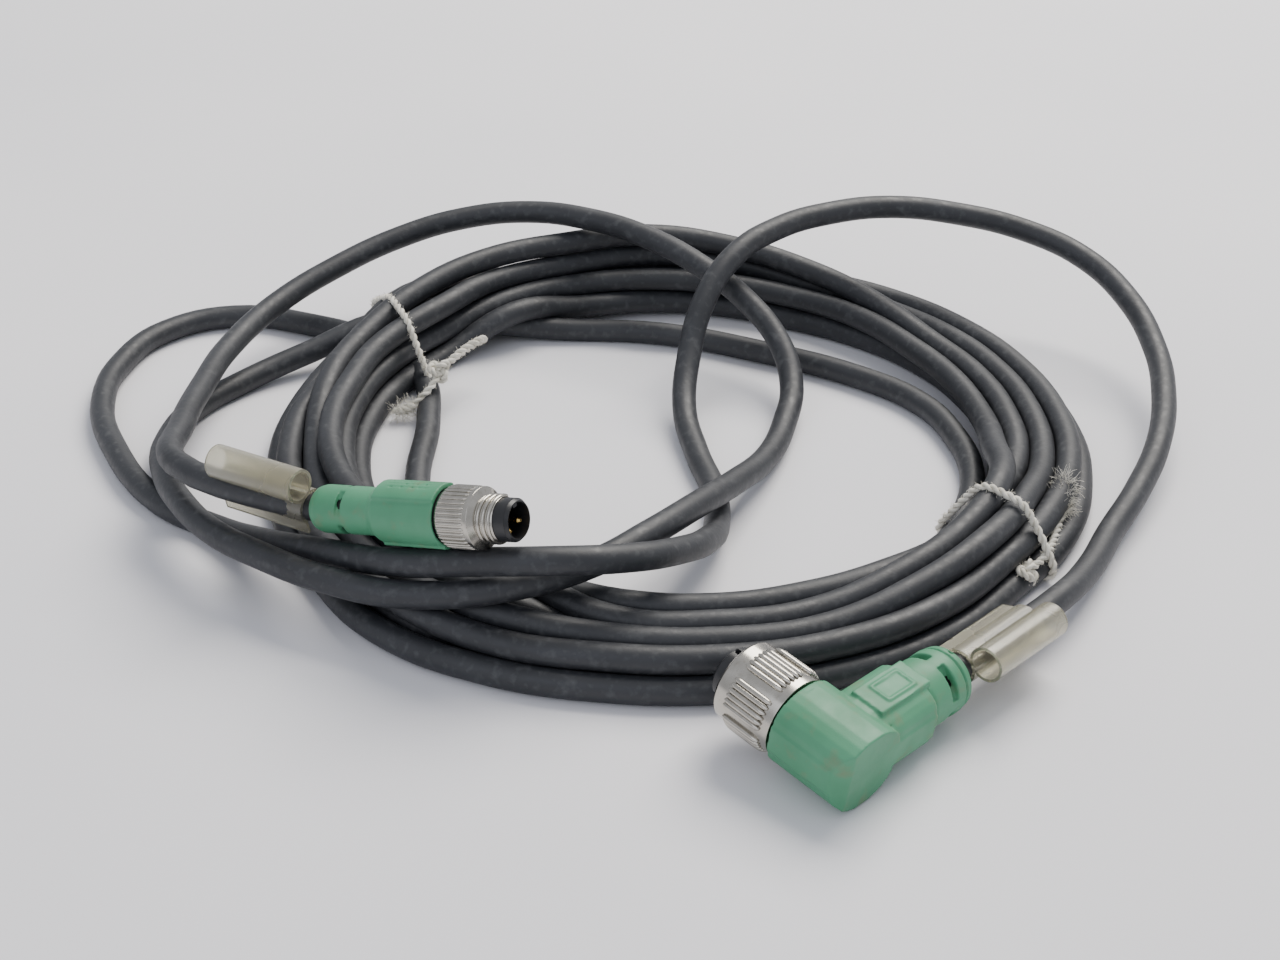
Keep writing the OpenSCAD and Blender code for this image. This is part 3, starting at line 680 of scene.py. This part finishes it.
def tie_path(inner_degrees, outer_degrees):
    """Loop pulled tight round the turns. It leans: its inner and outer side are at different angles."""
    middle = math.radians((inner_degrees + outer_degrees) / 2)
    direction = Vector((math.cos(middle), math.sin(middle), 0))
    aside = Vector((-direction.y, direction.x, 0))
    inner, outer = 50 * MM, 77 * MM
    rim = []
    for point in coil_turns + lead_lines:
        place = point - COIL_CENTRE
        along = place.dot(direction)
        beside = abs(place.dot(aside)) < 3.5 * MM
        if beside and inner - 2 * MM < along < outer + 2 * MM and point.z < 17 * MM:
            reach = CABLE_D / 2 + STRING_R
            rim += [(along + reach * math.cos(a), max(STRING_R, point.z + reach * math.sin(a)))
                    for a in np.linspace(0, 2 * math.pi, 24, endpoint=False)]
    hull = [Vector(rim[i]) for i in convex_hull_2d(rim)]
    lengths = [0]
    for a, b in zip(hull, hull[1:] + hull[:1]):
        lengths.append(lengths[-1] + (b - a).length)
    spots = np.linspace(0, lengths[-1], 44, endpoint=False)
    closed = np.array([tuple(p) for p in hull + hull[:1]])
    loop = np.stack([np.interp(spots, lengths, closed[:, k]) for k in (0, 1)], 1)
    loop = (np.roll(loop, 1, 0) + 2 * loop + np.roll(loop, -1, 0)) / 4
    out = []
    for along, height in loop.tolist():
        share = (along - inner) / (outer - inner)
        angle = math.radians(inner_degrees + share * (outer_degrees - inner_degrees))
        out.append(COIL_CENTRE + Vector((along * math.cos(angle), along * math.sin(angle), height)))
    return out


def knot_path(centre, size, turned_by):
    """A tight overhand knot: a trefoil line round its centre."""
    spin = Matrix.Rotation(turned_by, 3, "Z") @ Matrix.Rotation(math.radians(70), 3, "X")
    out = []
    for k in range(30):
        t = 2 * math.pi * k / 30
        trefoil = Vector((
            math.sin(t) + 2 * math.sin(2 * t), math.cos(t) - 2 * math.cos(2 * t), -1.3 * math.sin(3 * t)))
        out.append(centre + spin @ trefoil * size / 3)
    return out


def string_piece(name, points, closed, node, fibre_mm=0.7, fibres=2.2, twist_mm=3.2, ply=0.5):
    """String along a path, as a piece that stands for the CAD's tie."""
    mesh = grown(name, STRING, curve_of(name, points, closed), {
        "Ply radius": STRING_R * ply, "Twist length": twist_mm * MM,
        "Fibre length": fibre_mm * MM, "Fibres per mm2": fibres})
    for face in mesh.polygons:
        face.use_smooth = True
    piece = new_object(name, mesh, COTTON, "cordset")
    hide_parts(node)


left_loop, right_loop = tie_path(155.3, 142.2), tie_path(-31.4, -33.5)
string_piece("tie_left_loop", left_loop, True, "string_tie_left")
string_piece("tie_right_loop", right_loop, True, "string_tie_right")
left_knot, right_knot = mm([(-36.5, 34, 8), (67.3, -31.3, 4.2)])
string_piece("tie_left_knot", knot_path(left_knot, 1.9 * MM, 0.4), True, "string_tie_left")
string_piece("tie_right_knot", knot_path(right_knot, 1.9 * MM, 1.2), True, "string_tie_right")
string_piece("tie_left_bow", mm([
    (-36.5, 34, 8.2), (-34.4, 35.6, 9.4), (-31.6, 38.6, 10.6), (-29, 41.4, 11), (-28.4, 43.4, 10),
    (-30, 43.6, 9), (-32.6, 40.4, 8.6), (-35.6, 36, 8)]), False, "string_tie_left")
string_piece("tie_left_tail", mm([
    (-36.5, 33.6, 7.6), (-38, 31, 6), (-40.4, 29, 4), (-42, 28.2, 2.4)]), False, "string_tie_left")
string_piece("tie_left_tuft", mm([
    (-41.4, 28.8, 3.4), (-42.4, 28.4, 2.6), (-43.6, 28.2, 2.2), (-45, 28.6, 2.2)]),
    False, "string_tie_left", 2.4, 9, 2.4, 0.6)
string_piece("tie_right_tail", mm([
    (67.6, -31, 4.6), (71, -27, 4.8), (74, -20, 4.6), (76, -14, 5.2)]), False, "string_tie_right")
string_piece("tie_right_tuft", mm([
    (75.6, -14.8, 5.2), (76.4, -12, 6), (77, -9.6, 7), (77.4, -7.6, 8)]),
    False, "string_tie_right", 3.0, 9, 2.4, 0.7)

# ---------------------------------------------------------------- plugs


def metal_piece(name, mesh, place, body, node):
    """Metal mesh in a plug's own frame, put in its place on a body."""
    mesh.transform(place)
    piece = new_object(name, mesh, NICKEL, body)
    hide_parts(node)
    return piece


def empty_mesh(name):
    return bpy.data.meshes.new(name)


def grip_piece(name, node, voxel):
    """Green moulded grip in place of the CAD's."""
    piece = new_object(name, moulded_copy(name, node, voxel, 3), GREEN, "cordset")
    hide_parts(node)
    return piece


m8_grip = grip_piece("m8_grip", "m8_grip_body", 0.17 * MM)
m12_grip = grip_piece("m12_grip", "m12_grip_body", 0.2 * MM)

# M12 nut: stations along the mating axis, in millimetres
NUT_BACK, NUT_FRONT, NUT_BAND, NUT_BORE = 8.0, 19.0, 6.55, 5.5
nut_ring = metal_piece("m12_nut_ring", turned("m12_nut_ring", [
    (NUT_BACK, 4.9), (NUT_BACK, NUT_BAND), (NUT_FRONT - 0.5, NUT_BAND), (NUT_FRONT, NUT_BAND - 0.5),
    (NUT_FRONT, NUT_BORE + 0.2), (NUT_FRONT - 0.4, NUT_BORE), (NUT_BACK + 2.6, NUT_BORE),
    (NUT_BACK + 2.6, 4.9)]),
    MATING_PLACE, "m12_nut", "m12_knurled_nut")
nut_ribs = metal_piece("m12_nut_ribs", smooth_shaded(grown("m12_nut_ribs", RIBS, empty_mesh("ribs"), {
    "Panels": 6, "Ribs per panel": 6, "Channel share": 0.24, "Ring radius": 6.72 * MM,
    "Rib radius": 0.48 * MM, "Start": 9.4 * MM, "Length": 7.1 * MM})),
    MATING_PLACE, "m12_nut", "m12_knurled_nut")
nut_ridge = grown("m12_nut_thread", THREAD, empty_mesh("ridge"), {
    "Turns": 7.0, "Length": 7.0 * MM, "Radius": 5.55 * MM, "Ridge radius": 0.3 * MM, "Start": 11.4 * MM})
nut_thread = metal_piece("m12_nut_thread", smooth_shaded(nut_ridge, 60),
    MATING_PLACE, "m12_nut", "m12_knurled_nut")

# M8 screw: stations along the plug, in millimetres
SCREW_BACK, SCREW_RIM, SCREW_FRONT = 26.6, 33.2, 36.9
metal_piece("m8_screw_ring", turned("m8_screw_ring", [
    (SCREW_BACK, 4.42), (SCREW_BACK, 4.6), (SCREW_BACK + 0.5, 4.84), (SCREW_RIM - 0.9, 4.84),
    (SCREW_RIM - 0.9, 5.0), (SCREW_RIM - 0.1, 5.0), (SCREW_RIM + 0.55, 3.62), (SCREW_FRONT - 0.3, 3.68),
    (SCREW_FRONT, 3.56), (SCREW_FRONT, 3.5), (SCREW_BACK + 1.7, 3.5), (SCREW_BACK + 1.7, 4.42)], 0.08),
    M8_PLACE, "m8_screw", "m8_knurled_screw")
metal_piece("m8_screw_ribs", smooth_shaded(grown("m8_screw_ribs", RIBS, empty_mesh("ribs"), {
    "Panels": 1, "Ribs per panel": 36, "Channel share": 0.0, "Ring radius": 4.8 * MM,
    "Rib radius": 0.3 * MM, "Start": 27.0 * MM, "Length": 5.2 * MM})),
    M8_PLACE, "m8_screw", "m8_knurled_screw")
metal_piece("m8_screw_thread", smooth_shaded(grown("m8_screw_thread", THREAD, empty_mesh("ridge"), {
    "Turns": 2.6, "Length": 2.6 * MM, "Radius": 3.66 * MM, "Ridge radius": 0.34 * MM,
    "Start": 34.0 * MM}), 60),
    M8_PLACE, "m8_screw", "m8_knurled_screw")

# CAD nodes that keep their shape get their finish
KEPT = {
    "m8_core": BLACK, "m8_contact_carrier": BLACK, "m12_core": BLACK, "m12_contact_insert": BLACK,
    "m12_seal_ring": SEAL, "m8_marker_sleeve": SLEEVE, "m12_marker_sleeve": SLEEVE,
    "m8_pin_1": GOLD, "m8_pin_3": GOLD, "m8_pin_4": GOLD,
    "m12_contact_1": GOLD, "m12_contact_3": GOLD, "m12_contact_4": GOLD,
}
for plug in ("m8", "m12"):
    for shade, finish in WIRES.items():
        KEPT[f"{plug}_wire_{shade}"] = finish
for node, finish in KEPT.items():
    for holder in cad_nodes[node].material_slots:
        holder.material = finish

# ---------------------------------------------------------------- floor and light

floor_mesh = bpy.data.meshes.new("floor")
floor_mesh.from_pydata([(-3, -2, 0), (3, -2, 0), (3, 4, 0), (-3, 4, 0)], [], [(0, 1, 2, 3)])
floor = loose_object("floor", floor_mesh)
floor_mesh.materials.append(floor_finish())


def soft_light(name, place, target, size, power, colour):
    """Large soft area light that faces a point."""
    lamp = bpy.data.lights.new(name, "AREA")
    lamp.size, lamp.energy, lamp.color = size, power, linear(colour)[:3]
    holder = bpy.data.objects.new(name, lamp)
    holder.location = place
    holder.rotation_euler = (Vector(target) - Vector(place)).to_track_quat("-Z", "Y").to_euler()
    bpy.context.scene.collection.objects.link(holder)


soft_light("window_light", (0.35, 0.55, 0.85), (0, 0, 0), 0.7, 18.0, "#fffaf2")
soft_light("front_fill", (-0.5, -0.8, 0.7), (0, 0, 0), 0.9, 2.8, "#eef2ff")

world = bpy.data.worlds.new("studio")
world.use_nodes = True
world.node_tree.nodes["Background"].inputs[0].default_value = linear("#dfe2ea")
world.node_tree.nodes["Background"].inputs[1].default_value = 0.86
bpy.context.scene.world = world
